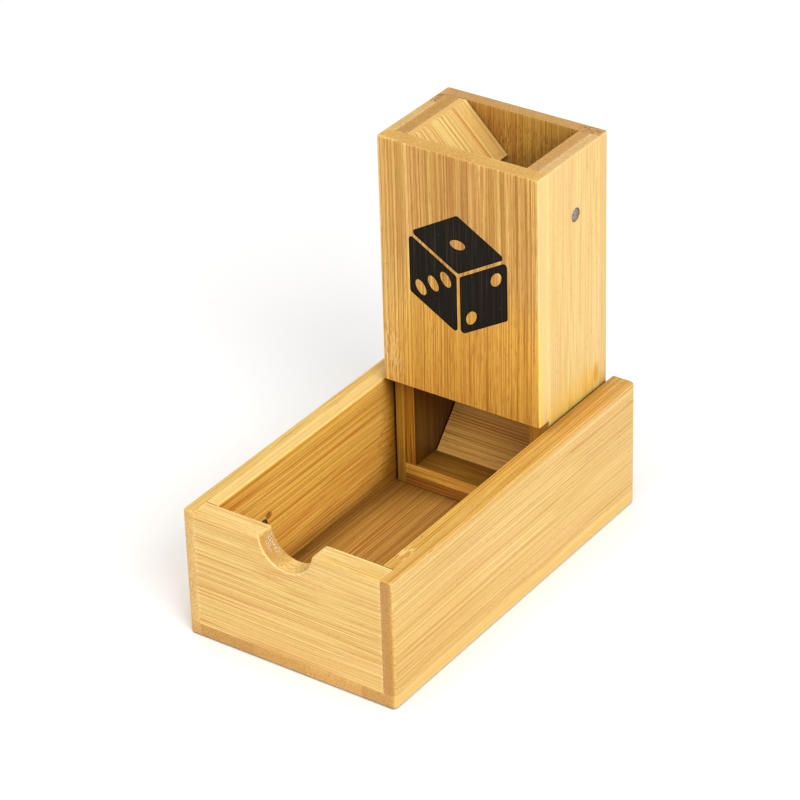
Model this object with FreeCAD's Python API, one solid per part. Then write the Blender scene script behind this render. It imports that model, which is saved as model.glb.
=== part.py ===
import FreeCAD, Part
import math
import os

# A two-part bamboo dice tower, in millimetres. An open-backed tray lies on the table and a
# hollow tower stands in its back half. Dice dropped into the tower's mouth tumble down its
# ramps and roll out under the front panel into the tray.
# Frame: +X to the right, +Y to the back, +Z up, origin under the middle of the tray's floor.

# Tray
TRAY_WIDTH = 80.0
TRAY_LENGTH = 142.0
TRAY_HEIGHT = 47.0
FLOOR_THICKNESS = 5.0
TRAY_PLY = 4.25
FRONT_WALL_THICKNESS = 7.5
NOTCH_RADIUS = 10.0
NOTCH_DEPTH = 9.7

# Tower
TOWER_WIDTH = 61.2
TOWER_DEPTH = 41.5
TOWER_HEIGHT = 133.4
TOWER_BACK_INSET = 2.7
FRONT_PANEL_THICKNESS = 5.9
BACK_PANEL_THICKNESS = 5.0
TOWER_OUTER_PLY = 3.5
TOWER_INNER_PLY = 4.2
BASE_PLY = 4.2
PANEL_ABOVE_TRAY = 1.2

# Ramps
RAMP_THICKNESS = 4.0
RAMP_EDGE_GAP = 0.15
EXIT_RAMP_EDGE_GAP = 0.4
UPPER_RAMP_FLAT = 2.9
UPPER_RAMP_RUN = 15.8
MIDDLE_RAMP_TOP = 96.0
MIDDLE_RAMP_RUN = 21.0
EXIT_RAMP_ANGLE = math.radians(47.5)
EXIT_RAMP_RUN = 18.6

# Magnets: 3/16 inch discs glued into blind holes, a little below the wood. The tower's are set
# in from its front face and from its two ends.
MAGNET_RADIUS = 2.38
MAGNET_THICKNESS = 2.0
MAGNET_CHAMFER = 0.25
MAGNET_HOLE_RADIUS = 2.45
MAGNET_RECESS = 0.3
MAGNET_FROM_FACE = 22.2
MAGNET_FROM_END = 21.7
STORED_TOWER_PLAY = 0.8

# Sanded edges
CORNER_ROUND = 1.6
RIM_ROUND = 1.0
SMALL_ROUND = 0.5
FOOT_ROUND = 0.4
LIP_ROUND = 1.6

# Burnt motif on the tower: a six-sided die seen corner-on
DIE_EDGE = 22.5
DIE_CENTRE_Z = 96.0
DIE_LINE = 1.1
DIE_CORNER = 1.2
PIP_RADIUS = 2.35
BURN_DEPTH = 0.3

# Worked-out places in the tray
TRAY_SIDE = TRAY_WIDTH / 2
TRAY_FRONT = -TRAY_LENGTH / 2
TRAY_BACK = TRAY_LENGTH / 2
TRAY_SEAM = TRAY_SIDE - TRAY_PLY
TRAY_INSIDE = TRAY_SEAM - TRAY_PLY
FRONT_WALL_BACK = TRAY_FRONT + FRONT_WALL_THICKNESS

# Worked-out places in the tower
TOWER_SIDE = TOWER_WIDTH / 2
TOWER_SEAM = TOWER_SIDE - TOWER_OUTER_PLY
SHAFT_SIDE = TOWER_SEAM - TOWER_INNER_PLY
TOWER_BACK = TRAY_BACK - TOWER_BACK_INSET
TOWER_FRONT = TOWER_BACK - TOWER_DEPTH
SHAFT_FRONT = TOWER_FRONT + FRONT_PANEL_THICKNESS
SHAFT_BACK = TOWER_BACK - BACK_PANEL_THICKNESS
TOWER_FOOT = FLOOR_THICKNESS
TOWER_TOP = TOWER_FOOT + TOWER_HEIGHT
BASE_TOP = TOWER_FOOT + 2 * BASE_PLY
PANEL_FOOT = TRAY_HEIGHT + PANEL_ABOVE_TRAY

# Magnet centres. The tray's rear pair holds the standing tower by its lower pair, and both
# pairs meet the tower's two pairs when it lies in the tray on its front panel.
TOWER_MAGNET_Y = TOWER_FRONT + MAGNET_FROM_FACE
TOWER_MAGNET_Z = {"upper": TOWER_TOP - MAGNET_FROM_END, "lower": TOWER_FOOT + MAGNET_FROM_END}
TRAY_MAGNET_Y = {
    "front": FRONT_WALL_BACK + STORED_TOWER_PLAY + MAGNET_FROM_END,
    "rear": TOWER_MAGNET_Y,
}
TRAY_MAGNET_Z = FLOOR_THICKNESS + MAGNET_FROM_END

SIDES = {"left": -1, "right": 1}
BEYOND = 5.0
NEAR = 1e-4


def board(x, y, z):
    """A squared board between two values on each axis."""
    size = [abs(end - start) for start, end in (x, y, z)]
    return Part.makeBox(*size, FreeCAD.Vector(min(x), min(y), min(z)))


def on(box, **planes):
    """True if an edge's box lies wholly in the planes given as x=, y= or z=."""
    return all(
        abs(getattr(box, axis.upper() + end) - value) < NEAR
        for axis, value in planes.items()
        for end in ("Min", "Max")
    )


def sanded(shape, radius, wanted):
    """The shape with every edge rounded whose box passes the test."""
    return shape.makeFillet(radius, [edge for edge in shape.Edges if wanted(edge.BoundBox)])


def bar_into_face(face_x, y, z, outward, radius, start, length):
    """A round bar square to a side face, from start below it. outward is the way the face looks."""
    foot = FreeCAD.Vector(face_x - outward * start, y, z)
    return Part.makeCylinder(radius, length, foot, FreeCAD.Vector(-outward, 0, 0))


def drilled(ply, face_x, y, z, outward):
    """The ply with one blind magnet hole."""
    depth = MAGNET_RECESS + MAGNET_THICKNESS
    return ply.cut(bar_into_face(face_x, y, z, outward, MAGNET_HOLE_RADIUS, 0, depth))


def magnet(face_x, y, z, outward):
    """A disc magnet on the bottom of its hole, with both rims broken."""
    disc = bar_into_face(face_x, y, z, outward, MAGNET_RADIUS, MAGNET_RECESS, MAGNET_THICKNESS)
    rims = [edge for edge in disc.Edges if isinstance(edge.Curve, Part.Circle)]
    return disc.makeChamfer(MAGNET_CHAMFER, rims)


def prism(outline, way):
    """The closed outline swept along a vector."""
    return Part.Face(Part.makePolygon(outline + outline[:1])).extrude(way)


# The tray

def tray_floor():
    floor = board((-TRAY_SIDE, TRAY_SIDE), (TRAY_FRONT, TRAY_BACK), (0, FLOOR_THICKNESS))
    floor = sanded(floor, CORNER_ROUND, lambda box: box.ZLength > NEAR)
    return sanded(floor, RIM_ROUND, lambda box: on(box, z=0))


def tray_front_wall():
    """The cross board between the outer plies, with a half-round finger notch in its top."""
    wall = board((-TRAY_SEAM, TRAY_SEAM), (TRAY_FRONT, FRONT_WALL_BACK), (FLOOR_THICKNESS, TRAY_HEIGHT))
    notch_foot = FreeCAD.Vector(0, TRAY_FRONT - BEYOND, TRAY_HEIGHT - NOTCH_DEPTH + NOTCH_RADIUS)
    notch_length = FRONT_WALL_THICKNESS + 2 * BEYOND
    wall = wall.cut(Part.makeCylinder(NOTCH_RADIUS, notch_length, notch_foot, FreeCAD.Vector(0, 1, 0)))
    wall = sanded(
        wall,
        LIP_ROUND,
        lambda box: on(box, z=TRAY_HEIGHT) and box.XLength < NEAR and abs(box.XMin) < TRAY_SEAM - NEAR,
    )
    for face_y, radius in ((TRAY_FRONT, RIM_ROUND), (FRONT_WALL_BACK, SMALL_ROUND)):
        wall = sanded(
            wall,
            radius,
            lambda box: on(box, y=face_y) and box.XLength > NEAR and box.ZMax > FLOOR_THICKNESS + NEAR,
        )
    return wall


def tray_outer_ply(side):
    outside = side * TRAY_SIDE
    seam = side * TRAY_SEAM
    ply = board((seam, outside), (TRAY_FRONT, TRAY_BACK), (FLOOR_THICKNESS, TRAY_HEIGHT))
    ply = sanded(ply, CORNER_ROUND, lambda box: on(box, x=outside) and box.ZLength > NEAR)
    return sanded(ply, RIM_ROUND, lambda box: on(box, z=TRAY_HEIGHT) and not on(box, x=seam))


def tray_inner_ply(side):
    """The shorter ply that stops behind the front wall, with this side's magnet holes."""
    inside = side * TRAY_INSIDE
    ply = board((inside, side * TRAY_SEAM), (FRONT_WALL_BACK, TRAY_BACK), (FLOOR_THICKNESS, TRAY_HEIGHT))
    ply = sanded(ply, RIM_ROUND, lambda box: on(box, y=TRAY_BACK, z=TRAY_HEIGHT))
    ply = sanded(ply, SMALL_ROUND, lambda box: on(box, x=inside, z=TRAY_HEIGHT))
    for y in TRAY_MAGNET_Y.values():
        ply = drilled(ply, inside, y, TRAY_MAGNET_Z, -side)
    return ply


# The burnt motif

def die_face(first, second, pips):
    """One face of the die as a cutter. first and second are its edges from the near corner."""

    def point(along_first, along_second):
        x = (along_first * first[0] + along_second * second[0]) * DIE_EDGE
        z = (along_first * first[1] + along_second * second[1]) * DIE_EDGE
        return FreeCAD.Vector(x, TOWER_FRONT - BEYOND, DIE_CENTRE_Z + z)

    way = FreeCAD.Vector(0, BEYOND + BURN_DEPTH, 0)
    low = DIE_LINE / 2 / math.sin(math.radians(60)) / DIE_EDGE
    high = 1 - low
    face = prism([point(low, low), point(high, low), point(high, high), point(low, high)], way)
    face = sanded(face, DIE_CORNER, lambda box: box.YLength > BEYOND)

    # A round pip on a face seen corner-on is an ellipse across the face's near corner
    normal = FreeCAD.Vector(0, 1, 0)
    long_way = FreeCAD.Vector(first[0] - second[0], 0, first[1] - second[1])
    turn = FreeCAD.Rotation(long_way, normal.cross(long_way), normal, "ZXY")
    pip = Part.Ellipse(FreeCAD.Vector(), PIP_RADIUS * math.sqrt(1.5), PIP_RADIUS * math.sqrt(0.5))
    for place in pips:
        disc = Part.Face(Part.Wire(pip.toShape()))
        disc.Placement = FreeCAD.Placement(point(*place), turn)
        face = face.cut(disc.extrude(way))
    return face


def die_faces():
    """The three faces that show: one pip on top, three on the left and two on the right."""
    across = math.cos(math.radians(30))
    right_edge, left_edge, down_edge = (across, 0.5), (-across, 0.5), (0, -1)
    low, middle, high = 0.25, 0.5, 0.75
    top = die_face(right_edge, left_edge, [(middle, middle)])
    left = die_face(left_edge, down_edge, [(low, low), (middle, middle), (high, high)])
    right = die_face(right_edge, down_edge, [(low, high), (high, low)])
    return [top, left, right]


# The tower

def tower_panel(outside_y, inside_y, foot):
    """A full-width panel over the ends of the side walls, sanded on its outer face."""
    panel = board((-TOWER_SIDE, TOWER_SIDE), (outside_y, inside_y), (foot, TOWER_TOP))
    panel = sanded(panel, RIM_ROUND, lambda box: on(box, y=outside_y) and box.ZLength > NEAR)
    return sanded(panel, SMALL_ROUND, lambda box: box.ZLength < NEAR and not on(box, y=inside_y))


def tower_front_panel():
    """The panel stops above the tray, which leaves the exit open under it."""
    panel = tower_panel(TOWER_FRONT, SHAFT_FRONT, PANEL_FOOT)
    for face in die_faces():
        panel = panel.cut(face)
    return panel


def tower_outer_ply(side):
    outside = side * TOWER_SIDE
    ply = board((side * TOWER_SEAM, outside), (SHAFT_FRONT, SHAFT_BACK), (TOWER_FOOT, TOWER_TOP))
    ply = sanded(ply, SMALL_ROUND, lambda box: on(box, x=outside) and box.ZLength < NEAR)
    ply = sanded(ply, FOOT_ROUND, lambda box: on(box, y=SHAFT_FRONT, z=TOWER_FOOT))
    for z in TOWER_MAGNET_Z.values():
        ply = drilled(ply, outside, TOWER_MAGNET_Y, z, side)
    return ply


def tower_inner_ply(side):
    """The ply that lines the shaft. It stands on the base."""
    return board((side * SHAFT_SIDE, side * TOWER_SEAM), (SHAFT_FRONT, SHAFT_BACK), (BASE_TOP, TOWER_TOP))


def tower_base_ply(bottom):
    """One of the two plies between the side walls. The lower one's front edge is broken too."""
    ply = board((-TOWER_SEAM, TOWER_SEAM), (SHAFT_FRONT, SHAFT_BACK), (bottom, bottom + BASE_PLY))
    if bottom == TOWER_FOOT:
        ply = sanded(ply, FOOT_ROUND, lambda box: on(box, y=SHAFT_FRONT, z=TOWER_FOOT))
    return ply


def side_ramp(side, top, flat, run):
    """A board that slopes down at 45 degrees from a side wall, its toe cut square.

    flat is the width of the level strip where its top end is trimmed.
    """
    square = RAMP_THICKNESS / math.sqrt(2)
    toe = flat + run
    outline = [(0, top), (flat, top), (toe, top - run), (toe - square, top - run - square)]
    outline.append((0, top - run - square + toe - square))
    start = SHAFT_FRONT + RAMP_EDGE_GAP
    length = SHAFT_BACK - SHAFT_FRONT - 2 * RAMP_EDGE_GAP
    if flat == 0:
        outline = outline[1:]
    corners = [FreeCAD.Vector(side * (SHAFT_SIDE - reach), start, z) for reach, z in outline]
    return prism(corners, FreeCAD.Vector(0, length, 0))


def exit_ramp():
    """The board that turns the dice forward. Its foot is trimmed to the base, its top to the back."""
    rise = EXIT_RAMP_RUN * math.tan(EXIT_RAMP_ANGLE)
    foot = SHAFT_BACK - EXIT_RAMP_RUN
    outline = [
        (foot, BASE_TOP),
        (SHAFT_BACK, BASE_TOP + rise),
        (SHAFT_BACK, BASE_TOP + rise - RAMP_THICKNESS / math.cos(EXIT_RAMP_ANGLE)),
        (foot + RAMP_THICKNESS / math.sin(EXIT_RAMP_ANGLE), BASE_TOP),
    ]
    half = SHAFT_SIDE - EXIT_RAMP_EDGE_GAP
    return prism([FreeCAD.Vector(-half, y, z) for y, z in outline], FreeCAD.Vector(2 * half, 0, 0))


parts = {
    "tray_floor": tray_floor(),
    "tray_front_wall": tray_front_wall(),
    "tower_front_panel": tower_front_panel(),
    "tower_back_panel": tower_panel(TOWER_BACK, SHAFT_BACK, TOWER_FOOT),
    "tower_base_lower_ply": tower_base_ply(TOWER_FOOT),
    "tower_base_upper_ply": tower_base_ply(TOWER_FOOT + BASE_PLY),
    "upper_ramp": side_ramp(SIDES["left"], TOWER_TOP, UPPER_RAMP_FLAT, UPPER_RAMP_RUN),
    "middle_ramp": side_ramp(SIDES["right"], MIDDLE_RAMP_TOP, 0, MIDDLE_RAMP_RUN),
    "exit_ramp": exit_ramp(),
}
for name, side in SIDES.items():
    parts[f"tray_{name}_outer_ply"] = tray_outer_ply(side)
    parts[f"tray_{name}_inner_ply"] = tray_inner_ply(side)
    parts[f"tower_{name}_outer_ply"] = tower_outer_ply(side)
    parts[f"tower_{name}_inner_ply"] = tower_inner_ply(side)
    for place, y in TRAY_MAGNET_Y.items():
        parts[f"tray_{name}_{place}_magnet"] = magnet(side * TRAY_INSIDE, y, TRAY_MAGNET_Z, -side)
    for place, z in TOWER_MAGNET_Z.items():
        parts[f"tower_{name}_{place}_magnet"] = magnet(side * TOWER_SIDE, TOWER_MAGNET_Y, z, side)

os.makedirs("parts", exist_ok=True)
for name, shape in parts.items():
    print(name, shape.isValid(), len(shape.Solids), round(shape.Volume, 1))
    shape.exportStep(f"parts/{name}.step")
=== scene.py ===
import math
import random

import bpy
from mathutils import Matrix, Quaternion, Vector


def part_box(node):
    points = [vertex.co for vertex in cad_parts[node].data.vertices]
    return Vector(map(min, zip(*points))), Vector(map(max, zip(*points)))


# A bamboo dice tower and its tray on a white studio table. Every piece is a part of the packed
# CAD model. This script gives each one its own bamboo or nickel, breaks the boards' edges and
# lights them all.

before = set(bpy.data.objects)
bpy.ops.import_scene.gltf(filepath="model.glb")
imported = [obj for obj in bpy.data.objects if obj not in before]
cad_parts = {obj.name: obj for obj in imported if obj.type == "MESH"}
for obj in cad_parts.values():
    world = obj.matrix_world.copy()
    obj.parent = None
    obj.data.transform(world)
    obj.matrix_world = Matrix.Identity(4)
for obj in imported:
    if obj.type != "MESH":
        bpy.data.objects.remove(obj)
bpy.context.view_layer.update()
RANDOM = random.Random(7)

MM = 0.001
PER_MM = 1 / MM
X = Vector((1, 0, 0))
Y = Vector((0, 1, 0))
Z = Vector((0, 0, 1))


# Nodes

class Shader:
    """One material. Any value may be a number, a tuple or another node's output."""

    def __init__(self, name):
        self.material = bpy.data.materials.new(name)
        self.material.use_nodes = True
        self.tree = self.material.node_tree
        self.surface = self.tree.nodes["Principled BSDF"]

    def feed(self, socket, value):
        if isinstance(value, bpy.types.NodeSocket):
            self.tree.links.new(value, socket)
        else:
            socket.default_value = value

    def make(self, kind, inputs=None, output=0, **settings):
        node = self.tree.nodes.new(kind)
        for setting, value in settings.items():
            setattr(node, setting, value)
        for socket, value in (inputs or {}).items():
            self.feed(node.inputs[socket], value)
        return node.outputs[output]

    def math(self, operation, *values):
        return self.make("ShaderNodeMath", dict(enumerate(values)), operation=operation)

    def add(self, *values):
        total = values[0]
        for value in values[1:]:
            total = self.math("ADD", total, value)
        return total

    def times(self, *values):
        product = values[0]
        for value in values[1:]:
            product = self.math("MULTIPLY", product, value)
        return product

    def vector(self, operation, *values):
        return self.make("ShaderNodeVectorMath", dict(enumerate(values)), operation=operation)

    def dot(self, vector, direction):
        inputs = {0: vector, 1: tuple(direction)}
        return self.make("ShaderNodeVectorMath", inputs, "Value", operation="DOT_PRODUCT")

    def length(self, vector):
        return self.make("ShaderNodeVectorMath", {0: vector}, "Value", operation="LENGTH")

    def join(self, *values):
        return self.make("ShaderNodeCombineXYZ", dict(enumerate(values)))

    def fade(self, value, start, end):
        """0 at start and 1 at end, eased between them."""
        inputs = {0: value, 1: start, 2: end}
        return self.make("ShaderNodeMapRange", inputs, interpolation_type="SMOOTHSTEP")

    def stretch(self, value, start, end):
        """0 at start and 1 at end, in proportion between them."""
        return self.make("ShaderNodeMapRange", {0: value, 1: start, 2: end})

    def noise(self, place, detail=0.0, roughness=0.5, output="Fac"):
        inputs = {"Vector": place, "Scale": 1, "Detail": detail, "Roughness": roughness}
        return self.make("ShaderNodeTexNoise", inputs, output)

    def cells(self, place, output="Distance"):
        return self.make("ShaderNodeTexVoronoi", {"Vector": place, "Scale": 1}, output)

    def mix(self, amount, first, second, blend="MIX"):
        inputs = {0: amount, 6: first, 7: second}
        return self.make("ShaderNodeMix", inputs, 2, data_type="RGBA", blend_type=blend)

    def patch(self, place, centre, reach, core):
        """1 in the core of a soft patch and 0 from reach outwards, given on each axis."""
        offset = self.vector("SUBTRACT", place, centre)
        distance = self.length(self.vector("DIVIDE", offset, reach))
        return self.fade(distance, 1, core)


def colour(red, green, blue):
    return (red, green, blue, 1)


# Bamboo

PALE_LIGHT = (0.93, 0.69, 0.26)
PALE_DARK = (0.62, 0.29, 0.050)
TOASTED_LIGHT = (0.78, 0.45, 0.125)
TOASTED_DARK = (0.34, 0.125, 0.014)
ROSY = colour(1.01, 0.98, 1.0)
GREENISH = colour(0.99, 1.0, 0.92)
FLECK = colour(0.17, 0.070, 0.018)
END_GRAIN = (0.95, 0.94, 0.93)
END_DARK = colour(0.86, 0.81, 0.74)
END_PALE = colour(1.08, 1.12, 1.20)
SCUFF = colour(1.10, 1.16, 1.30)
# Painted shade for inside corners.
CORNER_SHADE = colour(0.50, 0.42, 0.26)
# Painted bounce light for side faces near another board.
PAINTED_BOUNCE = colour(1.15, 1.10, 0.72)
# Painted shade for narrow gaps.
GAP_SHADE = colour(0.045, 0.018, 0.006)
STREAK_DARK = colour(0.78, 0.68, 0.48)
STREAK_PALE = colour(1.18, 1.27, 1.45)
JOINT_DULL = colour(0.50, 0.22, 0.045)
JOINT_BRIGHT = colour(0.97, 0.71, 0.32)
PORE_RING = colour(0.96, 0.76, 0.46)
PORE_DOT = colour(0.16, 0.060, 0.014)
EVEN_WOOD = colour(0.93, 0.67, 0.28)
NOTCH_TAN = colour(0.78, 0.73, 0.66)
# Painted highlight for the finger notch's front edge.
NOTCH_HIGHLIGHT = colour(0.97, 0.74, 0.36)
OUTER_STRIP = colour(1.10, 1.16, 1.3)
CHAR = colour(0.0085, 0.0065, 0.0042)
CHAR_FIBRE = colour(0.040, 0.026, 0.015)
ASH = colour(0.40, 0.24, 0.10)
EDGE_STRIP = 5.6
FLAT_STRIP = 21.0
CORNER_REACH = 22.0 * MM
BOUNCE_REACH = 16.0 * MM
GAP_REACH = 3.0 * MM
NOTCH_RADIUS = 10.0 * MM
NOTCH_AXIS_ABOVE_TOP = 0.3 * MM


def between(first, second, amount, shade, deep):
    """A colour on the way from first to second, dimmed by shade and made richer by deep."""
    steps = (a + (b - a) * amount for a, b in zip(first, second))
    return colour(*(shade * step**deep for step in steps))


def spot(piece, fractions):
    """The point at these fractions of the piece's box, in metres."""
    low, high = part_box(piece.name)
    return tuple(a + (b - a) * part for a, b, part in zip(low, high, fractions))


class Board(Shader):
    """Strip bamboo cut as a solid block: lines along its fibres and dots on its ends.

    toast runs from the palest strips, 0, to caramel ones, 1. shade dims the whole piece and
    deep makes its colour richer. ends tints its end grain, where blocks says how far the strips
    differ. strip is the strips' width in millimetres and seams how dark the glue between them
    is. tall stretches the lines into the board's depth. Surfaces count as end grain where their
    slant to the fibres is beyond end_from. corners says how much painted shade darkens inside
    corners and crevice_shade how much more there is close in. inward limits both to faces that
    look these ways. bounce says how much painted bounce light warms its sides where a board is
    close to them.
    """

    def __init__(
        self,
        piece,
        along,
        across,
        toast=0.0,
        shade=1.0,
        deep=1.0,
        ends=END_GRAIN,
        blocks=0.3,
        contrast=1.0,
        strip=EDGE_STRIP,
        seams=0.12,
        tall=1.0,
        end_from=0.45,
        corners=1.0,
        crevice_shade=0.0,
        inward=(),
        bounce=0.0,
        marks=(),
    ):
        super().__init__("bamboo_" + piece.name)
        self.piece = piece
        self.tall = tall
        self.directions = (along, across, along.cross(across))
        self.place = self.make("ShaderNodeTexCoord", output="Object")
        self.here = self.join(*(self.dot(self.place, way * PER_MM) for way in self.directions))
        self.grain = self.drifting_grain()
        self.normal = self.make("ShaderNodeTexCoord", output="Normal")
        self.end = self.facing(along, end_from)
        self.light = between(PALE_LIGHT, TOASTED_LIGHT, toast, shade, deep)
        self.dark = between(PALE_DARK, TOASTED_DARK, toast, shade, deep)
        self.roughness = 0.42
        self.height = 0.0
        self.wood = None
        self.fibres(strip, seams, contrast)
        self.cut_ends(ends, blocks)
        for mark in marks:
            mark(self)
        self.worn_edges()
        if corners:
            self.painted_corner_shade(corners, crevice_shade, inward)
        if bounce:
            self.painted_bounce_light(bounce)
        self.painted_gap_shade()
        self.finish()

    def facing(self, way, start=0.45):
        """1 where the surface looks along way or against it, and 0 where it looks aside."""
        return self.fade(self.math("ABSOLUTE", self.dot(self.normal, way)), start, 0.9)

    def drifting_grain(self):
        """The place in the grain, in millimetres, from a start of the board's own."""
        start = tuple(RANDOM.uniform(-400, 400) for _ in self.directions)
        straight = self.vector("ADD", self.here, start)
        slow = self.vector("MULTIPLY", straight, (0.008, 0.03, 0.03))
        drift = self.noise(slow, 1, output="Color")
        drift = self.vector("SUBTRACT", drift, (0.5, 0.5, 0.5))
        return self.vector("ADD", straight, self.vector("MULTIPLY", drift, (0, 3, 3)))

    def fibre_noise(self, length, width, detail=0.0, roughness=0.5):
        """Noise drawn out along the fibres. length and width are a feature's, in millimetres."""
        scale = (1 / length, 1 / width, 1 / width / self.tall)
        place = self.vector("MULTIPLY", self.grain, scale)
        return self.noise(place, detail, roughness)

    def fibres(self, strip, seams, contrast):
        lines = self.fade(self.fibre_noise(300, 0.36), 0.50, 0.62)
        hairs = self.fade(self.fibre_noise(180, 0.24), 0.44, 0.60)
        ragged = self.stretch(self.fibre_noise(14, 0.30, 2, 0.6), 0.30, 0.70)
        wide = self.stretch(self.fibre_noise(260, 1.5, 1), 0.30, 0.70)
        broad = self.stretch(self.fibre_noise(110, 11, 1), 0.30, 0.70)
        gleam = self.fade(self.fibre_noise(170, 0.40), 0.58, 0.72)
        flecks = self.fade(self.fibre_noise(2.2, 0.22), 0.70, 0.82)

        strips = self.dot(self.grain, Vector((0, 1 / strip, 0)))
        one_strip = {"W": self.math("FLOOR", strips)}
        self.tone = self.make("ShaderNodeTexWhiteNoise", one_strip, noise_dimensions="1D")
        off_middle = self.math("ABSOLUTE", self.math("SUBTRACT", self.math("FRACT", strips), 0.5))
        glue = self.fade(off_middle, 0.5 - 0.16 / strip, 0.5)

        depth = self.add(
            self.times(lines, 0.40),
            self.times(hairs, 0.36),
            self.times(ragged, 0.14),
            self.times(wide, 0.11),
            self.times(broad, 0.05),
            self.times(self.tone, 0.10),
            self.times(glue, seams),
            self.times(gleam, -0.28),
        )
        depth = self.add(0.45, self.times(contrast, self.math("SUBTRACT", depth, 0.45)))
        self.wood = self.mix(self.stretch(depth, 0.0, 1.0), self.light, self.dark)
        hue = self.stretch(self.fibre_noise(45, 9, 1), 0.35, 0.65)
        self.wood = self.mix(1, self.wood, self.mix(hue, ROSY, GREENISH), "MULTIPLY")
        self.wood = self.mix(self.times(flecks, 0.35), self.wood, FLECK)
        self.roughness = self.add(self.roughness, self.times(depth, 0.10))
        self.height = self.add(
            self.times(lines, -0.4),
            self.times(hairs, -0.2),
            self.times(ragged, -0.2),
            self.times(flecks, -0.5),
            self.times(glue, -0.3),
        )

    def cut_ends(self, tint, blocks):
        """Where the fibres are cut across, the strips blur and each bundle is a dot."""
        bundle_place = self.vector("MULTIPLY", self.grain, (1 / 400, 1 / 0.62, 1 / 0.62))
        bundles = self.fade(self.cells(bundle_place), 0.42, 0.20)
        pores = self.times(bundles, self.end)
        even = self.mix(self.times(self.end, 0.5), self.wood, self.mix(0.4, self.light, self.dark))
        strips = self.mix(blocks, colour(1, 1, 1), self.mix(self.tone, END_DARK, END_PALE))
        strips = self.mix(1, strips, colour(*tint), "MULTIPLY")
        self.wood = self.mix(self.end, even, self.mix(1, even, strips, "MULTIPLY"))
        self.wood = self.mix(self.times(pores, 0.36), self.wood, FLECK)
        self.roughness = self.add(self.roughness, self.times(self.end, 0.16))
        self.height = self.add(self.height, self.times(pores, -0.8))

    def edge_distance(self):
        """Millimetres to the nearest edge of the board's own box."""
        ends = []
        for way in self.directions:
            values = [vertex.co.dot(way) * PER_MM for vertex in self.piece.data.vertices]
            ends.append((min(values), max(values)))
        low, high = zip(*ends)
        to_faces = self.vector(
            "MINIMUM",
            self.vector("SUBTRACT", self.here, low),
            self.vector("SUBTRACT", high, self.here),
        )
        first, second, third = (self.dot(to_faces, axis) for axis in (X, Y, Z))
        nearer = self.math("MINIMUM", first, second)
        farther = self.math("MAXIMUM", first, second)
        return self.math("MAXIMUM", nearer, self.math("MINIMUM", farther, third))

    def worn_edges(self):
        """Edges that were sanded and handled are a little paler and smoother, in patches."""
        distance = self.edge_distance()
        rub = self.noise(self.vector("MULTIPLY", self.here, (0.22, 0.8, 0.8)), 2)
        wear = self.times(self.fade(distance, 1.2, 0.2), self.stretch(rub, 0.30, 0.65))
        scuffed = self.mix(1, self.wood, SCUFF, "MULTIPLY")
        self.wood = self.mix(wear, self.wood, scuffed)
        self.roughness = self.add(self.roughness, self.times(wear, -0.10))

    def openness(self, reach):
        """1 on an open face, and 0 where everything within reach is shut off by wood."""
        return self.make("ShaderNodeAmbientOcclusion", {"Distance": reach}, "AO", samples=8)

    def painted_corner_shade(self, corners, crevice_shade, inward):
        """Painted shade: inside corners are darker and richer in colour, the more they are shut
        in.
        """
        openness = self.openness(CORNER_REACH)
        where = self.add(*(self.facing(way) for way in inward)) if inward else 1.0
        reaches = [(corners, 0.92, 0.28), (crevice_shade, 0.68, 0.50)]
        for amount, start, end in reaches:
            shut_in = self.times(self.fade(openness, start, end), where, amount)
            corner_shaded = self.mix(1, self.wood, CORNER_SHADE, "MULTIPLY")
            self.wood = self.mix(shut_in, self.wood, corner_shaded)

    def painted_bounce_light(self, amount):
        """Painted bounce light: a side face close to another board is warmer, as if lit by it."""
        openness = self.openness(BOUNCE_REACH)
        lit = self.times(self.fade(openness, 0.95, 0.62), self.facing(X), amount)
        self.wood = self.mix(lit, self.wood, self.mix(1, self.wood, PAINTED_BOUNCE, "MULTIPLY"))

    def painted_gap_shade(self):
        """Painted shade in the narrow gaps beside another board."""
        gap = self.fade(self.openness(GAP_REACH), 0.44, 0.16)
        self.wood = self.mix(self.times(gap, 0.85), self.wood, GAP_SHADE)

    def finish(self):
        self.feed(self.surface.inputs["Base Color"], self.wood)
        self.feed(self.surface.inputs["Roughness"], self.roughness)
        inputs = {"Strength": 0.5, "Distance": 0.06 * MM, "Height": self.height}
        self.feed(self.surface.inputs["Normal"], self.make("ShaderNodeBump", inputs))
        self.surface.inputs["IOR"].default_value = 1.45

    def around(self, at, reach, core=0.0):
        """A soft patch at these fractions of the piece's box. reach is in millimetres."""
        metres = tuple(size * MM for size in reach)
        return self.patch(self.place, spot(self.piece, at), metres, core)


# What marks single boards. at is a place in fractions of the piece's box, and reach is in
# millimetres. So are a fibre's length and width.

def stain(at, reach, tint, amount, length=14, width=0.9):
    """A patch where the fibres are darker or warmer, in streaks of this size."""

    def mark(board):
        uneven = board.stretch(board.fibre_noise(length, width, 2), 0.25, 0.60)
        soft = board.times(board.around(at, reach), uneven, amount)
        board.wood = board.mix(soft, board.wood, colour(*tint))

    return mark


def dashes(way, at, reach, tint, amount, length, width):
    """Sparse short dark fibres of this size in a patch of the faces that look along way."""

    def mark(board):
        short = board.fade(board.fibre_noise(length, width, 1), 0.54, 0.66)
        soft = board.times(board.around(at, reach, 0.6), board.facing(way), short, amount)
        board.wood = board.mix(soft, board.wood, colour(*tint))

    return mark


def streaks(at, reach, amount, width):
    """A patch of a front or back face where long streaks of this width differ more."""

    def mark(board):
        streak = board.fade(board.fibre_noise(240, width, 1), 0.36, 0.64)
        tint = board.mix(streak, STREAK_DARK, STREAK_PALE)
        tinted = board.mix(1, board.wood, tint, "MULTIPLY")
        soft = board.times(board.around(at, reach, 0.6), board.facing(Y), amount)
        board.wood = board.mix(soft, board.wood, tinted)

    return mark


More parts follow.
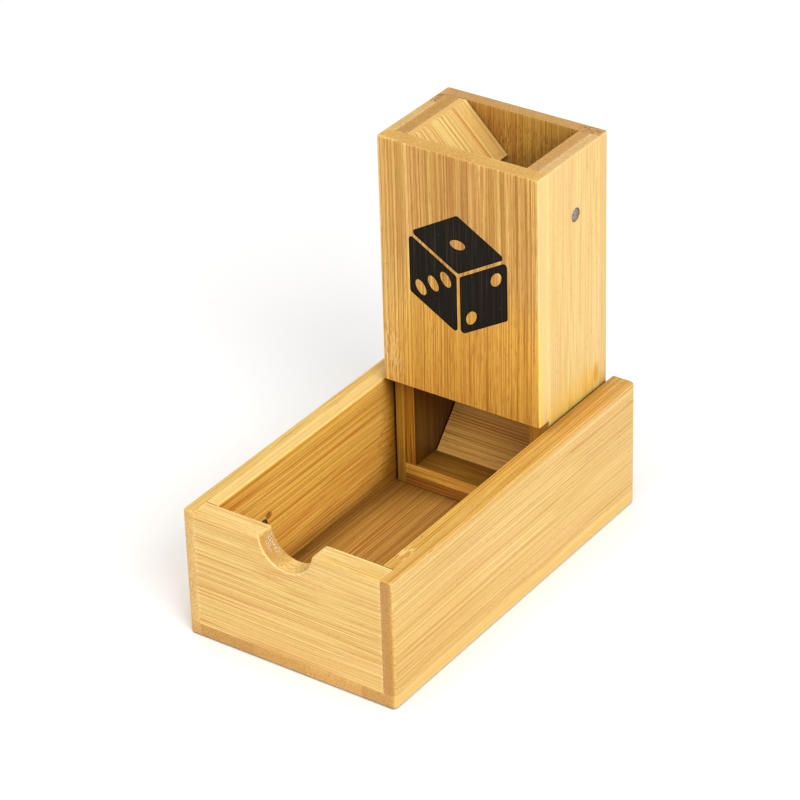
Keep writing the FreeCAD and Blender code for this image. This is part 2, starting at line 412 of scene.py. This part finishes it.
def glow(at, reach, tint, core=0.5):
    """A broad patch where the wood is warmer, paler or darker: on some boards its own tone, on
    others painted light or shade.
    """

    def mark(board):
        tinted = board.mix(1, board.wood, colour(*tint), "MULTIPLY")
        board.wood = board.mix(board.around(at, reach, core), board.wood, tinted)

    return mark


def joint_mark(at, reach):
    """Where the cane had a joint: short broken fibres, bright beside dark."""

    def mark(board):
        soft = board.fade(board.around(at, reach), 0.0, 0.55)
        broken = board.fibre_noise(3.4, 0.45, 1)
        bright = board.times(soft, board.fade(broken, 0.52, 0.62))
        dull = board.times(soft, board.fade(broken, 0.48, 0.38))
        board.wood = board.mix(board.times(dull, 0.50), board.wood, JOINT_DULL)
        board.wood = board.mix(board.times(bright, 0.65), board.wood, JOINT_BRIGHT)
        board.height = board.add(board.height, board.times(dull, -0.6))

    return mark


def open_pores(at, reach, ring=0.0):
    """A patch of end grain with wide pores: dark dots, with pale rings as strong as ring."""

    def mark(board):
        soft = board.times(board.fade(board.around(at, reach), 0.0, 0.6), board.end)
        place = board.vector("MULTIPLY", board.grain, (1 / 40, 1 / 0.9, 1 / 0.9))
        distance = board.cells(place)
        pale = board.times(soft, board.fade(distance, 0.62, 0.45), ring)
        dot = board.times(soft, board.fade(distance, 0.44, 0.28))
        board.wood = board.mix(pale, board.wood, PORE_RING)
        board.wood = board.mix(board.times(dot, 0.9), board.wood, PORE_DOT)
        board.height = board.add(board.height, board.times(dot, -0.3))

    return mark


def speck(at, reach, amount=0.7):
    """One dark speck."""

    def mark(board):
        soft = board.times(board.around(at, reach), amount)
        board.wood = board.mix(soft, board.wood, FLECK)

    return mark


def faces(way, tint, evenness=0.0, start=0.45):
    """The faces that look along way or against it are tinted: on some boards their own tone, on
    others painted light or shade.
    """

    def mark(board):
        even = board.mix(evenness, board.wood, EVEN_WOOD)
        tinted = board.mix(1, even, colour(*tint), "MULTIPLY")
        board.wood = board.mix(board.facing(way, start), board.wood, tinted)

    return mark


def from_notch_axis(board):
    """How far a point is from the axis of the finger notch."""
    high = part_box(board.piece.name)[1]
    centre = (0, 0, high.z + NOTCH_AXIS_ABOVE_TOP)
    offset = board.vector("MULTIPLY", board.vector("SUBTRACT", board.place, centre), (1, 0, 1))
    return board.length(offset)


def notch_side(board):
    """The left side of the finger notch is a darker tan than the rest of it."""
    beyond = board.math("SUBTRACT", from_notch_axis(board), NOTCH_RADIUS)
    on_notch = board.fade(beyond, 0.20 * MM, 0.05 * MM)
    soft = board.around((0.42, 0.5, 0.815), (5.0, 12, 5.0), 0.3)
    tinted = board.mix(1, board.wood, NOTCH_TAN, "MULTIPLY")
    board.wood = board.mix(board.times(on_notch, soft), board.wood, tinted)


def painted_notch_highlight(board):
    """Painted highlight: a thin pale line along the finger notch's front edge."""
    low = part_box(board.piece.name)[0]
    beyond = board.math("SUBTRACT", from_notch_axis(board), NOTCH_RADIUS)
    near_notch = board.fade(beyond, 0.7 * MM, 0.2 * MM)
    near_front = board.fade(board.dot(board.place, Y), low.y + 0.6 * MM, low.y + 0.2 * MM)
    line = board.times(near_notch, near_front, 0.75)
    board.wood = board.mix(line, board.wood, NOTCH_HIGHLIGHT)


def pale_outer_strips(board):
    """A panel's outermost strips are paler than its middle."""
    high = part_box(board.piece.name)[1]
    side = board.math("ABSOLUTE", board.dot(board.place, X))
    strip = board.fade(side, high.x - 3.2 * MM, high.x - 2.4 * MM)
    pale = board.mix(1, board.wood, OUTER_STRIP, "MULTIPLY")
    board.wood = board.mix(board.times(strip, 0.6), board.wood, pale)


def burnt_motif(board):
    """Char on the floor of the engraving, with the fibres faintly showing through it."""
    low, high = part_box(board.piece.name)
    depth = board.math("SUBTRACT", board.dot(board.place, Y), low.y)
    side = board.math("ABSOLUTE", board.dot(board.place, X))
    up = board.dot(board.place, Z)
    inside = board.times(
        board.fade(depth, 0.03 * MM, 0.10 * MM),
        board.math("LESS_THAN", depth, 1.0 * MM),
        board.math("LESS_THAN", side, high.x * 0.75),
        board.math("GREATER_THAN", up, low.z + 20 * MM),
        board.math("LESS_THAN", up, high.z - 15 * MM),
    )
    fibres = board.fade(board.fibre_noise(30, 0.5, 2, 0.6), 0.50, 0.72)
    crumbs = board.noise(board.vector("MULTIPLY", board.here, (1.1, 1.8, 1.8)))
    ash = board.fade(crumbs, 0.83, 0.88)
    char = board.mix(fibres, CHAR, CHAR_FIBRE)
    char = board.mix(board.times(ash, 0.35), char, ASH)
    board.wood = board.mix(inside, board.wood, char)
    board.roughness = board.add(board.roughness, board.times(inside, 0.40))
    board.surface.inputs["Specular IOR Level"].default_value = 0.25


EXIT_SLOPE = math.radians(47.5)
GREY_BROWN = (0.20, 0.10, 0.035)
AMBER = (0.72, 0.34, 0.045)

BOARDS = {
    "tray_floor": dict(
        along=Y,
        across=X,
        toast=0.35,
        shade=0.82,
        deep=1.36,
        ends=(1.22, 1.27, 1.50),
        blocks=1.0,
        strip=FLAT_STRIP,
        crevice_shade=0.4,
        inward=(Z,),
        marks=[
            faces(X, (0.92, 0.86, 0.60), 0.72),
        ],
    ),
    "tray_front_wall": dict(
        along=X,
        across=Z,
        shade=0.98,
        deep=1.06,
        ends=(0.84, 0.71, 0.53),
        contrast=0.95,
        corners=0.0,
        marks=[
            notch_side,
            open_pores((0.395, 0.70, 0.905), (5.0, 4.6, 6.5), ring=0.85),
            # Painted light: the wall's top face is paler, as if lit from above.
            glow((0.5, 0.6, 1), (60, 6, 1.2), (1.06, 1.14, 1.26)),
            painted_notch_highlight,
        ],
    ),
    "tray_left_outer_ply": dict(
        along=Y,
        across=Z,
        deep=1.03,
        contrast=0.8,
        ends=(0.95, 0.91, 0.92),
        corners=0.0,
        marks=[
            speck((0.9, 0.39, 1), (0.3, 0.5, 0.5)),
            glow((0.5, 0.5, 1), (6, 160, 1.2), (0.92, 0.93, 0.74)),
        ],
    ),
    "tray_right_outer_ply": dict(
        along=Y,
        across=Z,
        toast=0.1,
        shade=0.91,
        deep=1.06,
        contrast=0.88,
        ends=(0.78, 0.63, 0.50),
        corners=0.0,
        marks=[
            speck((1, 0.46, 0.25), (0.5, 0.9, 0.35)),
            stain((1, 0.45, 0.27), (2, 3, 1.5), AMBER, 0.5),
            glow((0.3, 0.5, 1), (6, 140, 1.4), (0.90, 0.79, 0.56)),
            glow((1, 0.1, 0.2), (2, 50, 26), (0.96, 0.92, 0.80)),
        ],
    ),
    "tray_left_inner_ply": dict(
        along=Y,
        across=Z,
        toast=-0.1,
        shade=1.14,
        deep=1.46,
        corners=0.45,
        crevice_shade=1.0,
        marks=[
            glow((1, 0.19, 0.577), (1.5, 2.2, 1.7), (0.40, 0.34, 0.22)),
            stain((1, 0.35, 0.03), (1.5, 60, 5.0), GREY_BROWN, 0.6),
            # Painted shadow of the tower on the wall beside it.
            glow((1, 0.72, 0.4), (2, 9, 130), (0.76, 0.68, 0.48), 0.1),
            dashes(X, (1, 0.68, 0.42), (2, 5.5, 16), (0.10, 0.045, 0.010), 0.6, 4.2, 0.4),
            faces(X, (1.05, 1.10, 0.98)),
            faces(Z, (0.89, 0.87, 0.74), 0.72),
        ],
    ),
    "tray_right_inner_ply": dict(
        along=Y,
        across=Z,
        toast=0.40,
        deep=1.2,
        marks=[
            joint_mark((0.5, 0.07, 1), (4.5, 7, 1.5)),
            glow((0.5, 0.5, 1), (6, 140, 1.4), (0.95, 0.92, 0.70)),
        ],
    ),
    "tower_front_panel": dict(
        along=Z,
        across=X,
        toast=0.55,
        deep=1.12,
        ends=(1.00, 1.02, 1.00),
        contrast=0.9,
        inward=(Y,),
        marks=[
            pale_outer_strips,
            faces(X, (0.94, 0.94, 0.92), 0.72),
            # Brighter and warmer towards the panel's foot.
            glow((0.6, 0, 0.05), (50, 4, 55), (1.17, 1.10, 0.71)),
            stain((0.5, 0, 0.85), (42, 3, 55), (0.46, 0.20, 0.05), 0.25, 300, 1.5),
            streaks((0.38, 0, 0.94), (46, 3, 60), 0.75, 1.6),
            streaks((0.45, 0, 0.94), (52, 3, 60), 0.40, 0.33),
            dashes(Y, (0.5, 0, 0.5), (120, 10, 260), (0.40, 0.17, 0.040), 0.5, 6, 0.28),
            glow((0.05, 0, 0.5), (9, 2, 110), (1.14, 1.21, 1.40)),
            joint_mark((0.045, 0, 0.175), (5.5, 2, 10.5)),
            joint_mark((0.083, 0, 0.075), (5.5, 2, 6.5)),
            speck((0.97, 0, 0.32), (0.4, 0.5, 0.5)),
            speck((0.83, 0, 0.31), (0.25, 0.5, 1.1)),
            speck((0.04, 0, 0.49), (0.35, 0.5, 0.35)),
            burnt_motif,
        ],
    ),
    "tower_back_panel": dict(
        along=Z,
        across=X,
        toast=0.50,
        deep=1.15,
        ends=(0.79, 0.79, 0.93),
        inward=(Y,),
        marks=[
            pale_outer_strips,
            faces(X, (0.86, 0.84, 0.74), 0.6),
            open_pores((0.92, 0.4, 1), (6.0, 3.5, 1.5)),
            # Painted shade on the shaft's back wall, in its upper part.
            glow((0.5, 0, 0.85), (45, 2, 40), (0.94, 0.90, 0.68)),
            dashes(Y, (0.5, 0, 0.92), (34, 2, 9), (0.22, 0.090, 0.020), 0.75, 3, 0.28),
        ],
    ),
    "tower_left_outer_ply": dict(
        along=Z,
        across=Y,
        toast=0.1,
        ends=(0.84, 0.83, 0.87),
        inward=(Y,),
        marks=[
            stain((0.6, 0.925, 1), (4.5, 6.5, 1.5), (0.36, 0.145, 0.028), 1.0, 3, 0.8),
            dashes(Z, (0.6, 0.925, 1), (4.5, 6.0, 1.5), (0.17, 0.055, 0.010), 0.9, 3, 0.9),
            # Painted shade, warm with bounce light from the tray, at the foot of the post.
            glow((0.5, 0, 0.16), (5, 6, 34), (0.83, 0.80, 0.33)),
        ],
    ),
    "tower_right_outer_ply": dict(
        along=Z,
        across=Y,
        toast=-0.2,
        shade=0.91,
        deep=0.94,
        ends=(0.86, 0.80, 0.84),
        contrast=0.6,
        inward=(Y,),
        bounce=1.0,
        marks=[
            # Painted warm bounce light from the end of the tray's wall, in two patches.
            glow((1, 0.94, 0.355), (2, 2.4, 5.5), (0.82, 0.66, 0.28), 0.2),
            glow((1, 0.80, 0.36), (2, 9, 8), (0.98, 0.94, 0.78), 0.2),
            # Painted shade, warm with bounce light from the tray, at the foot of the post.
            glow((0.5, 0, 0.14), (5, 6, 26), (0.98, 0.88, 0.42), 0.9),
        ],
    ),
    "tower_left_inner_ply": dict(
        along=Z,
        across=Y,
        toast=0.5,
        shade=0.85,
        deep=1.2,
        ends=(0.91, 0.87, 0.80),
        marks=[
            # Painted shade, warm with bounce light from the tray, at the foot of the post.
            glow((0.5, 0, 0.1), (6, 3, 36), (0.92, 0.81, 0.36)),
            # Painted shadow on the face that looks into the shaft.
            faces(X, (0.31, 0.24, 0.09)),
        ],
    ),
    "tower_right_inner_ply": dict(
        along=Z,
        across=Y,
        toast=0.5,
        shade=0.90,
        deep=1.15,
        ends=(0.91, 0.87, 0.96),
        inward=(X,),
        # The first tint is painted shade on the face that looks into the shaft.
        marks=[faces(X, (0.78, 0.72, 0.60)), faces(Y, (0.98, 0.92, 0.42))],
    ),
    "tower_base_lower_ply": dict(along=X, across=Y, toast=0.6, deep=1.45),
    "tower_base_upper_ply": dict(
        along=X,
        across=Y,
        toast=0.5,
        deep=1.25,
        contrast=1.25,
        # Painted light on the front edge and painted shade on the top, under the front panel.
        marks=[faces(Y, (1.65, 1.95, 1.75)), faces(Z, (0.57, 0.51, 0.22))],
    ),
    "upper_ramp": dict(
        along=(X - Z).normalized(),
        across=Y,
        shade=0.92,
        deep=1.06,
        contrast=1.2,
        strip=2.3,
        seams=0.30,
        tall=30.0,
        end_from=0.76,
        marks=[faces(Z, (0.77, 0.65, 0.48), 0.75, 0.8)],
    ),
    "middle_ramp": dict(along=(-X - Z).normalized(), across=Y, toast=0.3),
    "exit_ramp": dict(
        along=X,
        across=Vector((0, math.cos(EXIT_SLOPE), math.sin(EXIT_SLOPE))),
        toast=0.05,
        shade=1.20,
        deep=1.34,
        contrast=1.2,
        corners=0.2,
    ),
}


# Nickel

NICKEL_LIGHT = colour(0.50, 0.46, 0.42)
NICKEL_DARK = colour(0.15, 0.13, 0.11)
NICKEL_DULL = colour(0.13, 0.11, 0.092)
NICKEL_RIM_SHADE = colour(0.05, 0.042, 0.034)
SCRATCH_ANGLE = 0.9
SCRATCHES_PER_METRE = 2600
BREAKS_PER_METRE = 300
CLOUDS_PER_METRE = 900


def nickel(piece):
    """A plated disc, finely scratched across its face, rougher at its rim and darkened there with
    painted shade.
    """
    shader = Shader("nickel_" + piece.name)
    low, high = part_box(piece.name)
    centre = (low + high) / 2
    radius = (high.z - low.z) / 2
    place = shader.make("ShaderNodeTexCoord", output="Object")
    from_centre = shader.vector("SUBTRACT", place, tuple(centre))
    distance = shader.length(shader.vector("MULTIPLY", from_centre, (0, 1, 1)))
    rim = shader.fade(distance, radius * 0.80, radius)
    across = Vector((0, math.cos(SCRATCH_ANGLE), math.sin(SCRATCH_ANGLE)))
    fine = shader.dot(from_centre, across * SCRATCHES_PER_METRE)
    slow = shader.dot(from_centre, across.cross(X) * BREAKS_PER_METRE)
    scratches = shader.noise(shader.join(fine, slow, 0), 3, 0.6)
    clouds = shader.noise(shader.vector("MULTIPLY", place, (CLOUDS_PER_METRE,) * 3), 2)
    metal = shader.mix(shader.stretch(scratches, 0.3, 0.7), NICKEL_DARK, NICKEL_LIGHT)
    metal = shader.mix(shader.times(clouds, 0.4), metal, NICKEL_DULL)
    # Painted shade round the disc's rim, where the hole's edge would shade it.
    metal = shader.mix(shader.times(rim, 0.8), metal, NICKEL_RIM_SHADE)
    shader.feed(shader.surface.inputs["Base Color"], metal)
    shader.surface.inputs["Metallic"].default_value = 1.0
    roughness = shader.add(0.28, shader.times(scratches, 0.2), shader.times(rim, 0.2))
    shader.feed(shader.surface.inputs["Roughness"], roughness)
    inputs = {"Strength": 0.35, "Distance": 0.02 * MM, "Height": scratches}
    shader.feed(shader.surface.inputs["Normal"], shader.make("ShaderNodeBump", inputs))
    return shader.material


def dress(piece, material):
    for slot in piece.material_slots:
        slot.link = "OBJECT"
        slot.material = material


BROKEN_EDGE = 0.12 * MM


def break_edges(piece, width):
    """Rounds the piece's sharp edges a little. Its own mesh stays as it is."""
    weld = piece.modifiers.new("weld", "WELD")
    weld.merge_threshold = 0.001 * MM
    bevel = piece.modifiers.new("broken_edges", "BEVEL")
    bevel.width = width
    bevel.segments = 2
    bevel.limit_method = "ANGLE"
    bevel.angle_limit = math.radians(50)
    shading = piece.modifiers.new("shading", "WEIGHTED_NORMAL")
    shading.keep_sharp = False


for name, look in BOARDS.items():
    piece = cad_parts[name]
    dress(piece, Board(piece, **look).material)
    break_edges(piece, BROKEN_EDGE)

for name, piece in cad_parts.items():
    if name.endswith("magnet"):
        dress(piece, nickel(piece))


# Studio

FLOOR_HALF = 6.0
WORLD_STRENGTH = 0.61
KEY_LIGHT = ("key_light", (1.65, -0.95, 1.5), 32)
TOP_LIGHT = ("top_light", (0.1, -0.3, 2.2), 15)
SOFT_BOX_SIZE = 1.3
LIT_POINT = (0, 0, 0.06)


def studio_floor():
    low, high = -FLOOR_HALF, FLOOR_HALF
    corners = [(low, low, 0), (high, low, 0), (high, high, 0), (low, high, 0)]
    mesh = bpy.data.meshes.new("studio_floor")
    mesh.from_pydata(corners, [], [(0, 1, 2, 3)])
    floor = bpy.data.objects.new("studio_floor", mesh)
    bpy.context.scene.collection.objects.link(floor)
    shader = Shader("white_table")
    clouds = shader.noise(shader.make("ShaderNodeTexCoord", output="Object"), 2)
    shader.feed(
        shader.surface.inputs["Base Color"],
        shader.mix(clouds, colour(0.95, 0.95, 0.945), colour(0.98, 0.98, 0.98)),
    )
    shader.surface.inputs["Roughness"].default_value = 0.8
    shader.surface.inputs["Specular IOR Level"].default_value = 0.2
    mesh.materials.append(shader.material)


def soft_box(name, place, power):
    data = bpy.data.lights.new(name, "AREA")
    data.shape = "RECTANGLE"
    data.size = SOFT_BOX_SIZE
    data.size_y = SOFT_BOX_SIZE
    data.energy = power
    lamp = bpy.data.objects.new(name, data)
    lamp.location = place
    lamp.rotation_mode = "QUATERNION"
    lamp.rotation_quaternion = (Vector(LIT_POINT) - Vector(place)).to_track_quat("-Z", "Y")
    bpy.context.scene.collection.objects.link(lamp)


def studio_light():
    world = bpy.context.scene.world or bpy.data.worlds.new("studio")
    bpy.context.scene.world = world
    world.use_nodes = True
    background = world.node_tree.nodes["Background"]
    background.inputs["Color"].default_value = colour(1, 1, 1)
    background.inputs["Strength"].default_value = WORLD_STRENGTH
    soft_box(*KEY_LIGHT)
    soft_box(*TOP_LIGHT)
    bpy.context.scene.view_settings.view_transform = "Standard"


# Camera

CAMERA_AZIMUTH = math.radians(35.55)
CAMERA_ELEVATION = math.radians(31.06)
CAMERA_ROLL = math.radians(-1.82)
CAMERA_DISTANCE = 1.1328
CAMERA_TARGET = Vector((-0.01645, 0.01573, 0.050))
LENS = 155.66
SENSOR_WIDTH = 36


def camera():
    data = bpy.data.cameras.new("camera")
    data.lens = LENS
    data.sensor_width = SENSOR_WIDTH
    body = bpy.data.objects.new("camera", data)
    back = Vector((
        math.sin(CAMERA_AZIMUTH) * math.cos(CAMERA_ELEVATION),
        -math.cos(CAMERA_AZIMUTH) * math.cos(CAMERA_ELEVATION),
        math.sin(CAMERA_ELEVATION),
    ))
    body.location = CAMERA_TARGET + back * CAMERA_DISTANCE
    body.rotation_mode = "QUATERNION"
    roll = Quaternion((0, 0, 1), CAMERA_ROLL)
    body.rotation_quaternion = (-back).to_track_quat("-Z", "Y") @ roll
    bpy.context.scene.collection.objects.link(body)
    bpy.context.scene.camera = body


studio_floor()
studio_light()
camera()
